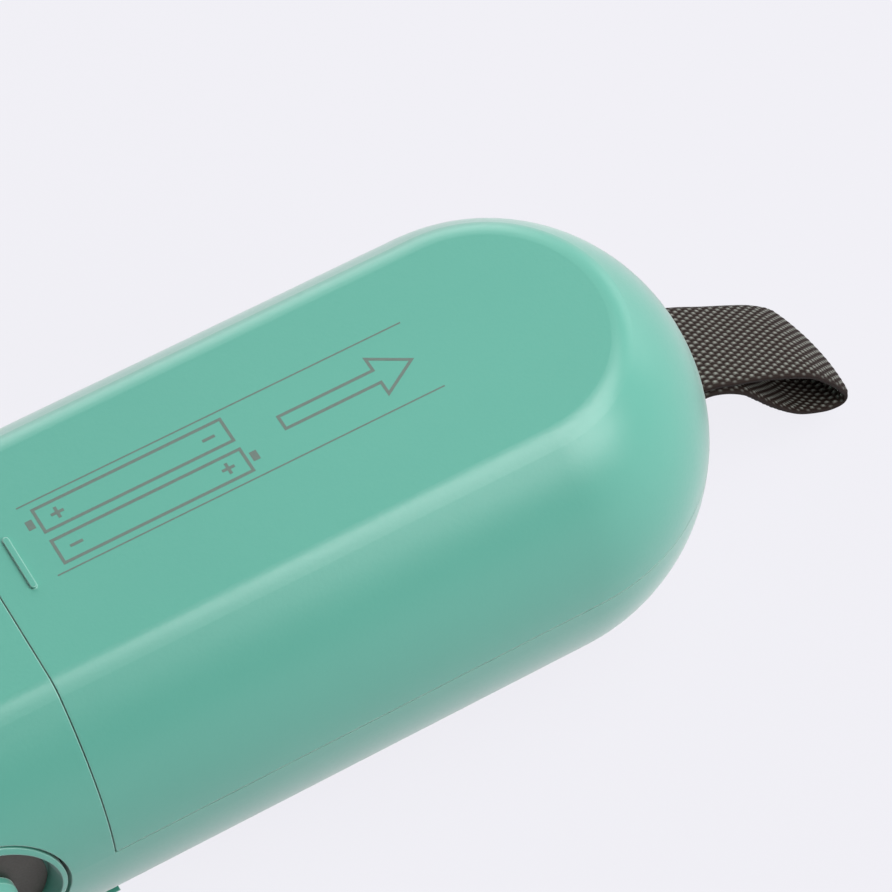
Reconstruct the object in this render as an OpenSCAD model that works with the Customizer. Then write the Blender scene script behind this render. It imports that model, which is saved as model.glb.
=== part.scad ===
// Hand-held bag sealer: a rounded two-cell body, a sprung press lever with a heated jaw,
// a slide-off battery cover and a webbing loop. Millimetres.
// While modelling, X = 0 is the centre of the round rear end, the jaw points to -X,
// and Z = 0 is the parting line, with the label face up. placed() then centres the part.

/* [Cells] */
// Diameter of one AA cell
cell_d = 14.5; // [14:0.1:15]
// Length of one AA cell with its nub
cell_l = 50.5; // [49:0.1:52]
// Diameter of the positive nub
nub_d = 5.5; // [4.5:0.1:6]
// Height of the positive nub
nub_h = 1; // [0.8:0.1:1.4]
// Gap between the two cells
cell_gap = 0.3; // [0.2:0.05:0.8]
// Height of the cells' axes above the parting line
cell_lift = 5; // [4.6:0.1:5.2]
// How far the cells reach into the round rear end
cell_tail = 3.1; // [2:0.1:3.3]

/* [Body] */
// Thickness of the outer walls
wall = 1.8; // [1.5:0.05:2]
// Room beside the cells inside the flanks
side_room = 1.55; // [1.4:0.05:2.5]
// Room above the cells under the label face
crown_room = 0.95; // [0.7:0.05:2]
// Radius of the flanks above the parting line
crown_r = 19.5; // [19:0.1:23]
// Rounding between the flanks and the label face
crown_edge_r = 2.6; // [2.4:0.1:4]
// Depth of the body below the parting line
keel_h = 14.4; // [13.8:0.1:15.5]
// Radius of the flanks below the parting line
keel_r = 20.5; // [19.5:0.1:24]
// Rounding between the flanks and the underside
keel_edge_r = 8; // [6:0.1:9]

/* [Cover] */
// Width of the seam round the battery cover
seam_gap = 0.1; // [0.08:0.02:0.3]
// Depth of the rails that hold the cover down
rail_d = 0.7; // [0.5:0.05:0.8]
// Height of each rail, and of the flange above it
rail_h = 0.7; // [0.6:0.05:0.9]
// Running gap of the rails
rail_gap = 0.25; // [0.2:0.01:0.3]
// Length of the tongue under the head
tongue_l = 3.5; // [2.5:0.1:4]
// Width of the tongue
tongue_w = 7; // [5:0.5:8]
// Thickness of the tongue
tongue_t = 1.1; // [0.9:0.05:1.3]
// Length of the thumb rib on the cover
rib_l = 5.2; // [4:0.1:9]
// Half width of the thumb rib
rib_r = 0.25; // [0.2:0.05:0.7]
// Height of the thumb rib
rib_h = 0.25; // [0.2:0.05:0.5]
// Distance of the thumb rib from the seam
rib_inset = 2.7; // [2:0.1:6]

/* [Hinge] */
// Radius of the hub holes in the cheeks
hub_r = 7.5; // [7.2:0.1:8]
// Gap round the lever's hubs
hub_gap = 0.3; // [0.2:0.02:0.4]
// Distance of the hinge axis in front of the seam
hinge_lead = 11.3; // [10.5:0.1:12.5]
// Radius of the hinge pins
pin_r = 1.5; // [1.3:0.1:1.7]
// Running clearance of the pins in the hubs
pin_clear = 0.06; // [0.03:0.01:0.1]
// Radius of the pins' flat heads
pin_head_r = 6.1; // [5.6:0.1:6.2]
// Thickness of the flat heads
pin_head_h = 0.4; // [0.3:0.05:0.6]
// Room round a pin's head
pin_head_room = 0.3; // [0.3:0.05:0.5]
// Depth of the dish in each hub
dish_d = 1.9; // [1.7:0.1:2.4]
// How much wider each dish is at its mouth
dish_flare = 0.4; // [0.2:0.05:0.45]
// Radius of the cap on each pin
cap_r = 3.3; // [3:0.1:4.4]
// Height of the cap
cap_h = 1.2; // [0.9:0.05:1.3]
// Height of the bevel round the cap
cap_bevel_h = 0.6; // [0.4:0.05:0.7]
// Width of the bevel round the cap
cap_bevel_w = 0.6; // [0.2:0.05:0.8]

/* [Lever] */
// Angle of the open jaw at rest
open_angle = 12; // [10:0.5:13]
// How far the lever stands proud of the underside
lever_proud = 1; // [0.6:0.1:1.6]
// Radius of the lever's flanks
lever_r = 24; // [22:0.5:28]
// Rounding of the lever's lower edges
lever_edge_r = 7; // [5:0.1:8]
// Wall of the lever
lever_wall = 2; // [1.7:0.05:2.2]
// Gap between the lever and the cheeks
lever_gap = 0.5; // [0.4:0.05:0.7]
// Height of the cheeks' lower edge above the underside
cheek_lift = 4; // [3.6:0.1:4.6]
// Width of cheek left in front of the hubs
cheek_rim = 2.5; // [2:0.1:3.5]
// Thickness of the ears that carry the hubs
ear_t = 1.9; // [1.6:0.1:2]
// Width of the ears
ear_w = 11; // [9:0.5:12]

/* [Jaw] */
// Distance from the hinge to the centre of the round nose
jaw_l = 19; // [18:0.5:26]
// Thickness of the jaw frame
jaw_t = 2; // [1.8:0.1:2.4]
// Distance from the hinge to the heater
heater_reach = 24; // [23.5:0.5:25]
// Distance from the ends of the heating ribbon to the inside of the flanks
ribbon_room = 5.4; // [5:0.1:7.5]
// Width of the heating ribbon
ribbon_w = 3; // [2:0.1:3.6]
// Thickness of the heating ribbon
ribbon_t = 0.2; // [0.15:0.01:0.3]
// Width of the heater base
base_w = 5.6; // [5:0.1:6]
// How far the heater base stands out of the jaw
base_proud = 0.6; // [0.5:0.05:0.7]
// Thickness of the woven cover strip
strip_t = 0.15; // [0.12:0.01:0.2]
// Width of the woven cover strip
strip_w = 10; // [9.4:0.1:10.4]
// Width of the silicone pad
pad_w = 4; // [3:0.1:5]
// Thickness of the silicone pad
pad_t = 1.6; // [1.4:0.1:2]
// Thickness of the pad carrier
carrier_t = 2; // [1.8:0.1:2.4]

/* [Switch and springs] */
// Distance from the hinge axis to the switch and the return springs
switch_arm = 5; // [4.6:0.1:5.4]
// Width of the switch along the body
switch_l = 6.5; // [6:0.1:7]
// Length of the switch across the body
switch_w = 12.8; // [11:0.1:13]
// Height of the switch
switch_h = 6; // [5.5:0.1:6.5]
// Radius of the switch plunger
plunger_r = 1.2; // [1:0.05:1.4]
// Length of the plunger below the jaw frame
plunger_out = 2.6; // [2.2:0.1:3]
// Radius of a return spring to the middle of its wire
spring_r = 2.4; // [2:0.1:2.6]
// Radius of the spring wire
spring_wire_r = 0.3; // [0.25:0.01:0.35]
// Turns of a return spring
spring_turns = 7; // [5:1:8]
// Gap between a return spring and the ear beside it
spring_room = 0.6; // [0.4:0.1:1.5]

/* [Strap] */
// Width of the webbing
strap_w = 10; // [8:0.5:12]
// Thickness of the webbing
strap_t = 0.8; // [0.6:0.05:1]
// Radius inside the loop's far end
loop_r = 3.1; // [3:0.1:4]
// Distance from the rear end of the body to the middle of the loop's far end
loop_reach = 10.5; // [9.5:0.1:14]
// Drop of the loop's far end below the parting line
loop_drop = 8.7; // [8:0.1:9.5]
// Length of the neck, where the two leaves lie together
neck_l = 2.8; // [2:0.1:3.4]
// Drop of the neck's end below its start
neck_drop = 1.3; // [1:0.1:2]
// Gap between the two leaves in the neck
neck_gap = 0.4; // [0.3:0.05:0.8]
// Radius of the strap pin
strap_pin_r = 1; // [0.8:0.05:1.2]
// Depth of the strap pin below the parting line
strap_pin_drop = 2.3; // [2.1:0.05:2.6]
// Distance of the strap pin inside the rear end
strap_pin_inset = 4.6; // [4.4:0.1:4.9]

/* [Fasteners] */
// Radius of the screw shanks
screw_r = 1; // [0.8:0.05:1.1]
// Radius of the screw heads
screw_head_r = 1.9; // [1.7:0.05:2]
// Height of the screw heads
screw_head_h = 1.2; // [1:0.05:1.3]
// Clearance round a screw
screw_clear = 0.08; // [0.05:0.01:0.15]
// Length of each arm of the cross recess
recess_l = 2.2; // [1.8:0.1:2.6]
// Width of the cross recess
recess_w = 0.5; // [0.4:0.05:0.7]
// Depth of the cross recess
recess_d = 0.6; // [0.4:0.05:0.7]
// Wall of a screw boss
boss_wall = 1.4; // [1.2:0.1:1.6]

/* [Hidden] */
$fn = 96;

// Colours
mint = [0.43, 0.74, 0.66];
dark_plastic = [0.20, 0.21, 0.22];
pale_plastic = [0.80, 0.81, 0.79];
steel = [0.70, 0.71, 0.72];
dark_steel = [0.30, 0.29, 0.28];
nickel = [0.78, 0.77, 0.74];
brass = [0.78, 0.64, 0.33];
ceramic = [0.90, 0.88, 0.82];
nichrome = [0.55, 0.54, 0.52];
woven_brown = [0.55, 0.42, 0.26];
silicone = [0.78, 0.33, 0.24];
cell_wrap = [0.25, 0.28, 0.33];
red_lead = [0.75, 0.13, 0.11];
black_lead = [0.10, 0.10, 0.10];
white_lead = [0.88, 0.88, 0.86];
webbing = [0.20, 0.19, 0.18];

// Shared small sizes
far = 300;
bury = 0.3;
fit = 0.2;
edge_min = 0.3;

// Body, worked out from the cells
cell_r = cell_d / 2;
cell_y = cell_r + cell_gap / 2;
half_w = cell_d + cell_gap / 2 + side_room + wall;
crown_h = cell_lift + cell_r + crown_room + wall;
roof_z = crown_h - wall;
rim_y = half_w - wall;
cell_front_x = cell_tail - cell_l;
hub_room = 0.1;
hinge_x = cell_front_x - hub_room - hub_r;
seam_x = hinge_x + hinge_lead;
nose_x = hinge_x - jaw_l;
front_x = nose_x - half_w;

// Lever and cheeks
lever_back = 0.7;
lever_rear_x = seam_x + lever_back;
tub_front_x = lever_rear_x + lever_gap;
cheek_front_x = hinge_x - hub_r - cheek_rim;
swing_spare = 2;
cheek_rise = (hinge_x - cheek_front_x) * tan(open_angle + swing_spare);
cheek_d = keel_h - cheek_lift;
lever_h = keel_h + lever_proud;
lever_floor_z = lever_wall - lever_h;
lever_step_x = cheek_front_x - lever_gap - bury;
lever_rim_sink = 0.2;
hub_sink = 0.1;

// Battery tray and contacts
contact_gap = 2.6;
plate_t = 0.4;
tray_wall = 1.2;
tray_clear = 0.15;
groove_r = cell_r + tray_clear;
tray_floor = 1.6;
tray_z = cell_lift - groove_r - tray_floor;
tray_h = 5.8;
tray_post_h = 4.2;
flange_w = 1.25;
web_t = 0.5;
flange_y = rim_y - rail_gap - flange_w;
tray_half = flange_y - rail_gap;
plate_front_x = cell_front_x - contact_gap;
plate_rear_x = cell_tail + contact_gap;
tray_front_x = plate_front_x - plate_t - tray_wall;
tray_rear_x = plate_rear_x + plate_t + tray_wall;
plate_w = 8;
plate_low = 4;
button_r = 2.4;
tab_w = 3;
tab_h = 2.5;
ear_room = 5.6;
ear_in_y = cell_y + ear_room;
tray_nose_half = ear_in_y - rail_gap;
tray_screw_span = 28;
tray_screw_x = [for (s = [-1, 1]) (cell_front_x + cell_tail + s * tray_screw_span) / 2];
tray_screw_sink = 3;
tray_boss_wall = 2;
tray_boss_r = screw_r + tray_boss_wall;
screw_l = 8;
cell_spring_r = 3.4;
cell_spring_tip_r = 2.4;
cell_spring_turns = 2;

// Hub and pins
hub_face_y = half_w - hub_sink;
dish_y = hub_face_y - dish_d;
hub_out = hub_r - hub_gap;
dish_r = pin_head_r + pin_head_room;
lug_t = 2.3;
lug_y = ear_in_y - rail_gap;
lug_wall = 1.5;
lug_r = pin_r + lug_wall;
pin_seat = 0.15;
pin_head_y = dish_y + pin_seat;
cap_y = pin_head_y + pin_head_h;
ear_slim = 1;
ear_top_z = tray_z - lever_gap;
ear_foot_y = keel_half(cheek_d, wall + ear_slim) - ear_t;
spring_y = ear_foot_y - spring_room - spring_r - spring_wire_r;

// Jaw
frame_clear = 0.15;
frame_gap = 0.4;
frame_rear_x = tray_front_x - frame_gap;
frame_notch = 1;
frame_notch_x = cheek_front_x - frame_notch;
heater_x = hinge_x - heater_reach;
heater_half = sqrt(pow(rim_y, 2) - pow(max(0, nose_x - heater_x), 2));
ribbon_l = 2 * (heater_half - ribbon_room);
base_over = 0.75;
base_l = ribbon_l + 2 * base_over;
base_flange = 1;
leg_gap = 0.05;
leg_rise = 2.2;
pocket_room = 0.3;
ridge_w = 1;
ridge_h = base_proud + ribbon_t;
strip_over = 0.5;
strip_l = ribbon_l + 2 * strip_over;
terminal_l = 3;
terminal_w = 2.4;
terminal_h = 2;
front_screw_lead = 7.6;
front_screw_y = 4.6;
rear_screw_lead = 1.6;
rear_screw_inset = 6.6;
jaw_screw_at = [[heater_x - front_screw_lead, front_screw_y],
    [cheek_front_x - rear_screw_lead, rim_y - rear_screw_inset]];
jaw_boss_r = screw_r + boss_wall;
jaw_gap = 0.35;
carrier_top_z = -base_proud - ribbon_t - strip_t - jaw_gap;
pad_proud = 0.3;
pad_top_z = carrier_top_z + pad_proud;
carrier_room = 0.2;
carrier_rear_x = lever_step_x - lever_wall - carrier_room;
carrier_screw_reach = 17.4;
carrier_screw_inset = 7.7;
carrier_screw_at = [hinge_x - carrier_screw_reach, rim_y - carrier_screw_inset];
carrier_post_r = screw_r + boss_wall;

// Switch and springs
switch_x = hinge_x - switch_arm;
plunger_clear = 0.12;
plunger_stroke = switch_arm * open_angle * PI / 180;
collar_w = 0.8;
collar_r = plunger_r + collar_w;
collar_h = 0.5;
chamber_room = 0.3;
push_gap = 0.45;
push_r = 1.6;
peg_room = 0.3;
peg_r = spring_r - spring_wire_r - peg_room;
peg_h = 1.6;
terminal_tab_w = 2;
terminal_tab_t = 0.5;
terminal_tab_h = 2;
switch_tab_y = 4;
switch_top = jaw_t + switch_h;

// Strap
strap_pin_x = half_w - strap_pin_inset;
loop_x = half_w + loop_reach;
strap_pin_room = 0.1;
strap_turn_r = strap_pin_r + strap_pin_room;
strap_slot_room = 0.35;
strap_mid_r = strap_turn_r + strap_t / 2;
neck_half = (strap_t + neck_gap) / 2;
neck_z = strap_mid_r - strap_pin_drop - neck_half;
slot_drop = 1;
slot_d = neck_half + strap_t / 2 + slot_drop - neck_z;
strap_steps = 6;
loop_mid_r = loop_r + strap_t / 2;
pin_turn = [for (a = [315:-45:90]) [strap_pin_x, -strap_pin_drop] + strap_mid_r * [cos(a), sin(a)]];
loop_turn = [for (a = [90:-45:-180]) [loop_x, -loop_drop] + loop_mid_r * [cos(a), sin(a)]];
strap_end_x = loop_x + loop_r + strap_t;
lug_w = 2;
lug_half = 1.9;
strap_lug_room = 0.5;
strap_lug_y = strap_w / 2 + strap_lug_room;

// Leads: each route goes from piece to piece in steps of one bend
lead_r = 0.55;
lead_sides = 8;
lead_steps = 4;
lead_bend = 1.5;
lead_roof_gap = 3.2;
lead_z = roof_z - lead_roof_gap;
lead_seat = 0.25;
lead_start_x = plate_front_x - plate_t - lead_seat;
lead_start_z = cell_lift + plate_low + tab_h - 2 * lead_r;

// The part stands on the lever's underside, with its box centred over the origin
centre_x = (front_x + strap_end_x) / 2;
module placed() {
    translate([-centre_x, 0, lever_h]) children();
}

// Half width of the flat that the flank and its edge rounding leave
function flat_half(h, r, e) = half_w - r + sqrt(pow(r - e, 2) - pow(h - e, 2));

// Half width of the body at a depth below the parting line, inset by a wall
function keel_half(d, inset) =
    let (flat = flat_half(keel_h, keel_r, keel_edge_r), edge_d = keel_h - keel_edge_r)
    let (turn = atan2(edge_d, flat - half_w + keel_r), edge = keel_edge_r - inset)
    d < edge_d + edge * sin(turn)
        ? half_w - keel_r + sqrt(pow(keel_r - inset, 2) - pow(d, 2))
        : flat + sqrt(pow(edge, 2) - pow(d - edge_d, 2));

// Upper half of a body section, inset by a wall: flanks, flat and two edge roundings
module half_section(h, r, e, inset) {
    flat = flat_half(h, r, e);
    flank_y = half_w - r;
    turn = atan2(h - e, flat - flank_y);
    edge = e - inset;
    flank_top = edge > edge_min ? h - e + edge * sin(turn) : h - inset;
    intersection() {
        translate([flank_y, 0]) circle(r - inset);
        translate([-flank_y, 0]) circle(r - inset);
        translate([-far / 2, 0]) square([far, flank_top]);
    }
    if (edge > edge_min) {
        translate([-flat, 0]) square([2 * flat, h - inset]);
        for (s = [-1, 1])
            intersection() {
                translate([s * flat, h - e]) circle(edge);
                translate([-far / 2, 0]) square([far, far]);
            }
    }
}

module body_section(inset) {
    half_section(crown_h, crown_r, crown_edge_r, inset);
    mirror([0, 1]) half_section(keel_h, keel_r, keel_edge_r, inset);
}

module lever_section(inset) {
    mirror([0, 1]) half_section(lever_h, lever_r, lever_edge_r, inset);
}

module right_half() {
    intersection() {
        children();
        translate([0, -far / 2]) square([far, far]);
    }
}

// A section carried from the nose to x = rear, with a half turn at the nose
module carried(rear) {
    translate([nose_x, 0, 0]) rotate([90, 0, 90]) linear_extrude(rear - nose_x) children();
    translate([nose_x, 0, 0]) rotate([0, 0, 90]) rotate_extrude(angle = 180) right_half() children();
}

module pod(inset) {
    carried(0) body_section(inset);
    rotate([0, 0, -90]) rotate_extrude(angle = 180) right_half() body_section(inset);
}

module lever_pod(inset) {
    carried(lever_rear_x) lever_section(inset);
}

// A side outline in X and Z, carried right across the part
module across(points) {
    translate([0, far / 2, 0]) rotate([90, 0, 0]) linear_extrude(far) polygon(points);
}

// A box from two corners
module block(low, high) {
    translate(low) cube(high - low);
}

module both_sides() {
    children();
    mirror([0, 1, 0]) children();
}

module along_y(x, y, z, r, l) {
    translate([x, y, z]) rotate([-90, 0, 0]) cylinder(r = r, h = l);
}

module along_x(x, y, z, r, l) {
    translate([x, y, z]) rotate([0, 90, 0]) cylinder(r = r, h = l);
}

// Turns what is drawn with the jaw closed to the open rest pose
module opened() {
    translate([hinge_x, 0, 0]) rotate([0, -open_angle, 0]) translate([-hinge_x, 0, 0]) children();
}

// A pan-head screw with a cross recess, its seat at z = 0 and its shank downward
module screw() {
    difference() {
        cylinder(r = screw_head_r, h = screw_head_h);
        for (turn = [0, 90])
            rotate([0, 0, turn])
                block([-recess_l / 2, -recess_w / 2, screw_head_h - recess_d],
                    [recess_l / 2, recess_w / 2, screw_head_h + fit]);
    }
    translate([0, 0, -screw_l]) cylinder(r = screw_r, h = screw_l + bury);
}

// A round tube swept along points, as one closed polyhedron
function unit(v) = v / norm(v);
function run_at(p, i) = unit(p[min(i + 1, len(p) - 1)] - p[max(i - 1, 0)]);
function ring_at(p, i, r, sides, side_hint) =
    let (t = run_at(p, i), u = unit(cross(side_hint, t)), v = cross(t, u))
    [for (k = [0:sides - 1]) p[i] + r * (cos(360 * k / sides) * u + sin(360 * k / sides) * v)];
module tube(p, r, sides, side_hint) {
    n = len(p);
    points = [for (i = [0:n - 1]) each ring_at(p, i, r, sides, side_hint)];
    walls = [for (i = [0:n - 2], k = [0:sides - 1])
        let (a = i * sides + k, b = i * sides + (k + 1) % sides)
        each [[a, a + sides, b], [b, a + sides, b + sides]]];
    start_cap = [for (k = [1:sides - 2]) [0, k, k + 1]];
    last = (n - 1) * sides;
    end_cap = [for (k = [1:sides - 2]) [last, last + k + 1, last + k]];
    polyhedron(points, concat(walls, start_cap, end_cap));
}

// A smooth route through points, with n steps between two of them
function eased(p, n) = concat([for (i = [0:len(p) - 2], k = [0:n - 1])
    let (a = p[max(i - 1, 0)], b = p[i], c = p[i + 1], d = p[min(i + 2, len(p) - 1)], t = k / n)
    b + (c - a) * t / 2 + (2 * a - 5 * b + 4 * c - d) * pow(t, 2) / 2
        + (3 * b - a - 3 * c + d) * pow(t, 3) / 2], [p[len(p) - 1]]);

// A coil spring along +Z, from radius r0 to r1
coil_steps = 8;
coil_sides = 6;
module coil(r0, r1, length, turns, wire_r) {
    steps = ceil(turns * coil_steps);
    rise = length - 2 * wire_r;
    path = [for (i = [0:steps])
        let (s = i / steps, a = 360 * turns * s, r = r0 + (r1 - r0) * s)
        [r * cos(a), r * sin(a), wire_r + rise * s]];
    tube(path, wire_r, coil_sides, [0, 0, 1]);
}

module main_housing() {
    outline = [[-far, far], [seam_x, far], [seam_x, 0], [far, 0], [far, -far], [tub_front_x, -far],
        [tub_front_x, -cheek_d], [hinge_x, -cheek_d], [cheek_front_x, cheek_rise - cheek_d],
        [cheek_front_x, 0], [-far, 0]];
    color(mint) placed() difference() {
        union() {
            intersection() {
                across(outline);
                difference() {
                    pod(0);
                    pod(wall);
                }
            }
            // Bulkhead between the tub and the lever
            intersection() {
                pod(wall - bury);
                block([tub_front_x, -half_w, -far], [tub_front_x + wall, half_w, tray_z - fit]);
            }
            // Bosses under the tray
            for (x = tray_screw_x)
                translate([x, 0, -keel_h + wall - bury])
                    cylinder(r = tray_boss_r, h = tray_z + keel_h - wall + bury);
            // Bosses above the jaw frame
            intersection() {
                pod(wall - bury);
                for (at = jaw_screw_at)
                    both_sides() translate([at[0], at[1], jaw_t]) cylinder(r = jaw_boss_r, h = roof_z);
            }
            // Lips and flanges that the cover's rails slide under
            both_sides() {
                block([seam_x + wall, flange_y, -3 * rail_h],
                    [-wall, flange_y + web_t, seam_gap + 3 * rail_h]);
                block([seam_x + wall, flange_y, -3 * rail_h], [-wall, rim_y + bury, -rail_h]);
                block([seam_x + wall, flange_y, seam_gap + rail_h + rail_gap],
                    [-wall, flange_y + flange_w, seam_gap + 3 * rail_h]);
            }
            // Lugs that hold the strap pin
            intersection() {
                pod(wall / 2);
                both_sides()
                    block([strap_pin_x - lug_half, strap_lug_y, -keel_h],
                        [strap_pin_x + lug_half, strap_lug_y + lug_w, lug_half - strap_pin_drop]);
            }
        }
        along_y(hinge_x, -far / 2, 0, hub_r, far);
        for (x = tray_screw_x)
            translate([x, 0, tray_z + tray_screw_sink - screw_l - fit])
                cylinder(r = screw_r + screw_clear, h = screw_l);
        for (at = jaw_screw_at)
            both_sides()
                translate([at[0], at[1], 0])
                    cylinder(r = screw_r + screw_clear, h = screw_head_h + screw_l + fit);
        strap_slot();
        along_y(strap_pin_x, -strap_lug_y - lug_w, -strap_pin_drop, strap_pin_r + screw_clear,
            2 * (strap_lug_y + lug_w));
    }
}

// Notch in the rear wall, from the parting line down past both leaves
module strap_slot() {
    slot_half = strap_w / 2 + strap_slot_room;
    block([strap_pin_x, -slot_half, -slot_d], [far, slot_half, far]);
}

// The webbing's middle line, in X and Z: round the pin, along the neck, round the loop and back
function strap_line() = concat(
    pin_turn,
    [[rim_y, neck_z + neck_half], [half_w + neck_l, neck_z - neck_drop + neck_half]],
    loop_turn,
    [[half_w + neck_l, neck_z - neck_drop - neck_half], [rim_y, neck_z - neck_half]]);

// A closed smooth line through points, and the same line moved sideways
function wrapped(p) = concat([p[len(p) - 1]], p, [p[0], p[1]]);
function closed(p, n) =
    let (line = eased(wrapped(p), n)) [for (i = [n:len(line) - 1 - 2 * n]) line[i]];
function moved(p, by) = [for (i = [0:len(p) - 1])
    let (t = unit(p[(i + 1) % len(p)] - p[(i + len(p) - 1) % len(p)])) p[i] + by * [-t[1], t[0]]];

module strap_loop() {
    line = closed(strap_line(), strap_steps);
    color(webbing) placed() translate([0, strap_w / 2, 0]) rotate([90, 0, 0]) linear_extrude(strap_w)
        difference() {
            polygon(moved(line, strap_t / 2));
            polygon(moved(line, -strap_t / 2));
        }
}

module strap_pin() {
    color(steel) placed() along_y(strap_pin_x, -strap_lug_y - lug_w, -strap_pin_drop, strap_pin_r,
        2 * (strap_lug_y + lug_w));
}

module battery_cover() {
    front = seam_x + seam_gap;
    outline = [[front, far], [far, far], [far, seam_gap], [front, seam_gap]];
    rib_x = seam_x + rib_inset;
    color(mint) placed() {
        intersection() {
            across(outline);
            difference() {
                pod(0);
                pod(wall);
            }
        }
        both_sides()
            block([seam_x + wall, rim_y - rail_d, seam_gap], [-wall, rim_y + bury, seam_gap + rail_h]);
        // Tongue that slides under the head
        block([front, -tongue_w / 2, roof_z - fit - tongue_t],
            [front + tongue_l, tongue_w / 2, roof_z + bury]);
        block([seam_x - tongue_l, -tongue_w / 2, roof_z - fit - tongue_t],
            [front + tongue_l, tongue_w / 2, roof_z - fit]);
        // Thumb rib
        hull() both_sides() translate([rib_x, rib_l / 2 - rib_r, crown_h - bury])
            cylinder(r = rib_r, h = rib_h + bury);
    }
}

module battery_tray() {
    color(dark_plastic) placed() difference() {
        intersection() {
            union() {
                block([tray_front_x, -tray_nose_half, tray_z],
                    [hinge_x + hub_r + fit, tray_nose_half, tray_z + tray_h]);
                block([hinge_x + hub_r, -tray_half, tray_z], [tray_rear_x, tray_half, tray_z + tray_h]);
                for (x = [tray_front_x, tray_rear_x - tray_wall])
                    block([x, -tray_nose_half, tray_z],
                        [x + tray_wall, tray_nose_half, cell_lift + tray_post_h]);
            }
            pod(wall + rail_gap);
        }
        both_sides()
            along_x(plate_front_x - plate_t, cell_y, cell_lift, groove_r,
                plate_rear_x - plate_front_x + 2 * plate_t);
        block([plate_front_x - plate_t, -tray_nose_half - fit, cell_lift - plate_low],
            [cell_front_x, tray_nose_half + fit, far]);
        block([cell_tail, -tray_half - fit, cell_lift - plate_low],
            [plate_rear_x + plate_t, tray_half + fit, far]);
        for (x = tray_screw_x) {
            translate([x, 0, tray_z - bury]) cylinder(r = screw_r + screw_clear, h = tray_h);
            translate([x, 0, tray_z + tray_screw_sink]) cylinder(r = screw_head_r + fit, h = tray_h);
        }
    }
}

module tray_screws() {
    color(steel) placed()
        for (x = tray_screw_x)
            translate([x, 0, tray_z + tray_screw_sink]) screw();
}

// A cell along +X, with its nub at the far end
module cell() {
    chamfer = 0.5;
    can_l = cell_l - nub_h;
    along_x(chamfer, 0, 0, cell_r, can_l - 2 * chamfer);
    rotate([0, 90, 0]) cylinder(r1 = cell_r - chamfer, r2 = cell_r, h = chamfer);
    translate([can_l - chamfer, 0, 0]) rotate([0, 90, 0])
        cylinder(r1 = cell_r, r2 = cell_r - chamfer, h = chamfer);
    along_x(can_l - chamfer, 0, 0, nub_d / 2, nub_h + chamfer);
}

module aa_cell_left() {
    color(cell_wrap) placed() translate([cell_tail, cell_y, cell_lift]) mirror([1, 0, 0]) cell();
}

module aa_cell_right() {
    color(cell_wrap) placed() translate([cell_front_x, -cell_y, cell_lift]) cell();
}

// A contact plate across the end of one cell
module contact_plate(x, y) {
    block([x, y - plate_w / 2, cell_lift - plate_low],
        [x + plate_t, y + plate_w / 2, cell_lift + plate_low]);
}

// A solder tab on top of a front plate
module solder_tab(y) {
    block([plate_front_x - plate_t, y - tab_w / 2, cell_lift],
        [plate_front_x, y + tab_w / 2, cell_lift + plate_low + tab_h]);
}

module contact_positive() {
    color(nickel) placed() {
        contact_plate(plate_front_x - plate_t, cell_y);
        solder_tab(cell_y);
        along_x(plate_front_x - plate_t, cell_y, cell_lift, button_r, contact_gap + plate_t);
    }
}

module contact_negative() {
    color(nickel) placed() {
        contact_plate(plate_front_x - plate_t, -cell_y);
        solder_tab(-cell_y);
    }
}

module contact_bridge() {
    color(nickel) placed() {
        block([plate_rear_x, -cell_y - plate_w / 2, cell_lift - plate_low],
            [plate_rear_x + plate_t, cell_y + plate_w / 2, cell_lift + plate_low]);
        along_x(cell_tail, -cell_y, cell_lift, button_r, contact_gap + bury);
    }
}

module contact_springs() {
    color(nickel) placed() {
        translate([plate_front_x, -cell_y, cell_lift]) rotate([0, 90, 0])
            coil(cell_spring_r, cell_spring_tip_r, contact_gap, cell_spring_turns, spring_wire_r);
        translate([plate_rear_x, cell_y, cell_lift]) rotate([0, -90, 0])
            coil(cell_spring_r, cell_spring_tip_r, contact_gap, cell_spring_turns, spring_wire_r);
    }
}

module jaw_frame() {
    pocket_x = base_w / 2 + pocket_room;
    pocket_y = base_l / 2 + ribbon_t + leg_gap + pocket_room;
    color(pale_plastic) placed() difference() {
        union() {
            difference() {
                intersection() {
                    pod(wall + frame_clear);
                    block([-far, -far / 2, 0], [frame_rear_x, far / 2, jaw_t]);
                }
                both_sides() block([frame_notch_x, lug_y, -jaw_t], [far, far / 2, 2 * jaw_t]);
            }
            // Lugs that carry the hinge pins
            both_sides() {
                along_y(hinge_x, lug_y - lug_t, 0, lug_r, lug_t);
                block([hinge_x - lug_r, lug_y - lug_t, 0], [hinge_x + lug_r, lug_y, jaw_t]);
            }
            // Pegs for the return springs
            both_sides() translate([switch_x, spring_y, -peg_h]) cylinder(r = peg_r, h = peg_h + bury);
            // Ridges that carry the edges of the cover strip
            for (s = [-1, 1])
                block([heater_x + s * (strip_w - ridge_w) / 2 - ridge_w / 2, -strip_l / 2, -ridge_h],
                    [heater_x + s * (strip_w - ridge_w) / 2 + ridge_w / 2, strip_l / 2, bury]);
        }
        both_sides() along_y(hinge_x, lug_y - lug_t - fit, 0, pin_r + screw_clear, lug_t + 2 * fit);
        translate([switch_x, 0, -fit]) cylinder(r = plunger_r + plunger_clear, h = jaw_t + 2 * fit);
        block([heater_x - pocket_x, -pocket_y, -ridge_h - fit],
            [heater_x + pocket_x, pocket_y, jaw_t + fit]);
        for (at = jaw_screw_at)
            both_sides() {
                translate([at[0], at[1], -fit]) cylinder(r = screw_r + screw_clear, h = jaw_t + 2 * fit);
                translate([at[0], at[1], -fit]) cylinder(r = screw_head_r + fit, h = screw_head_h + fit);
            }
    }
}

module jaw_screws() {
    color(steel) placed()
        for (at = jaw_screw_at)
            both_sides() translate([at[0], at[1], screw_head_h]) mirror([0, 0, 1]) screw();
}

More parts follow.
